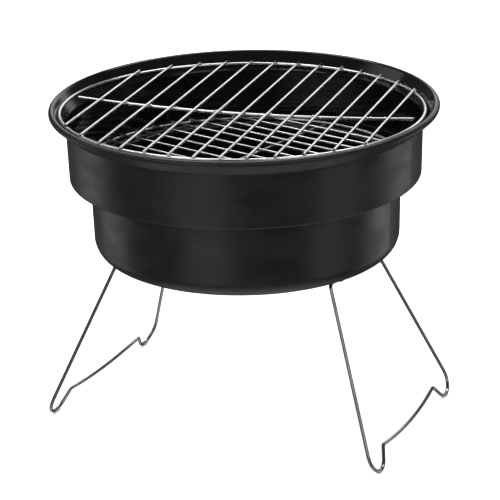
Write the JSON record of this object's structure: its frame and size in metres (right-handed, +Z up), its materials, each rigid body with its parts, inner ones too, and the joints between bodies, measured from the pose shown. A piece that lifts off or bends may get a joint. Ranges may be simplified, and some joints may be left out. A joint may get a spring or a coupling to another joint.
{
  "type": "portable tabletop grill",
  "caption": "Round stepped black steel bowl on two folding bent-wire legs, with a lift-off round wire cooking grate and a smaller wire charcoal grate on the step inside.",
  "frame": {"origin": "on the ground, under the centre of the bowl", "axes": "+Z up along the bowl's axis; the legs' hinge lines run along Y, with one leg towards -X and one towards +X"},
  "size_m": [0.3, 0.3, 0.2563],
  "materials": {
    "bowl_coat": "satin black heat-resistant coat outside, glossy black inside",
    "bracket_steel": "plain zinc-plated sheet",
    "rivet_steel": "plain steel, round heads",
    "leg_chrome": "bright plated wire",
    "cooking_chrome": "bright plated wire",
    "charcoal_chrome": "plated wire, slightly duller"
  },
  "bodies": {
    "bowl": {"bowl_shell": "bowl_coat", "left_hinge_bracket": "bracket_steel", "right_hinge_bracket": "bracket_steel", "left_bracket_rivets": "rivet_steel", "right_bracket_rivets": "rivet_steel"},
    "left_leg": {"left_leg_wire": "leg_chrome"},
    "right_leg": {"right_leg_wire": "leg_chrome"},
    "cooking_grate": {"cooking_ring": "cooking_chrome", "cooking_bar_01": "cooking_chrome", "cooking_bar_02": "cooking_chrome", "cooking_bar_03": "cooking_chrome", "cooking_bar_04": "cooking_chrome", "cooking_bar_05": "cooking_chrome", "cooking_bar_06": "cooking_chrome", "cooking_bar_07": "cooking_chrome", "cooking_bar_08": "cooking_chrome", "cooking_bar_09": "cooking_chrome", "cooking_bar_10": "cooking_chrome", "cooking_bar_11": "cooking_chrome", "cooking_bar_12": "cooking_chrome", "cooking_bar_13": "cooking_chrome", "cooking_cross_wire": "cooking_chrome"},
    "charcoal_grate": {"charcoal_ring": "charcoal_chrome", "charcoal_bar_01": "charcoal_chrome", "charcoal_bar_02": "charcoal_chrome", "charcoal_bar_03": "charcoal_chrome", "charcoal_bar_04": "charcoal_chrome", "charcoal_bar_05": "charcoal_chrome", "charcoal_bar_06": "charcoal_chrome", "charcoal_bar_07": "charcoal_chrome", "charcoal_bar_08": "charcoal_chrome", "charcoal_bar_09": "charcoal_chrome", "charcoal_bar_10": "charcoal_chrome", "charcoal_bar_11": "charcoal_chrome", "charcoal_bar_12": "charcoal_chrome", "charcoal_bar_13": "charcoal_chrome", "charcoal_bar_14": "charcoal_chrome", "charcoal_bar_15": "charcoal_chrome", "charcoal_cross_wire": "charcoal_chrome"}
  },
  "joints": [
    {"name": "left_leg_fold", "type": "hinge", "parent": "bowl", "child": "left_leg", "pos_m": [-0.08885, 0.00667, 0.1331], "axis": [-0.0227, -0.9997, 0], "range_deg": [0, 111]},
    {"name": "right_leg_fold", "type": "hinge", "parent": "bowl", "child": "right_leg", "pos_m": [0.08906, -0.00263, 0.1331], "axis": [-0.0227, 0.9997, 0], "range_deg": [0, 106]},
    {"name": "cooking_grate_lift", "type": "slide", "parent": "bowl", "child": "cooking_grate", "axis": [0, 0, 1], "range_m": [0, 0.16]},
    {"name": "charcoal_grate_lift", "type": "slide", "parent": "bowl", "child": "charcoal_grate", "axis": [0, 0, 1], "range_m": [0, 0.08]}
  ],
  "couplings": [
    {"joint": "charcoal_grate_lift", "follows": "cooking_grate_lift", "ratio": 0.5}
  ]
}
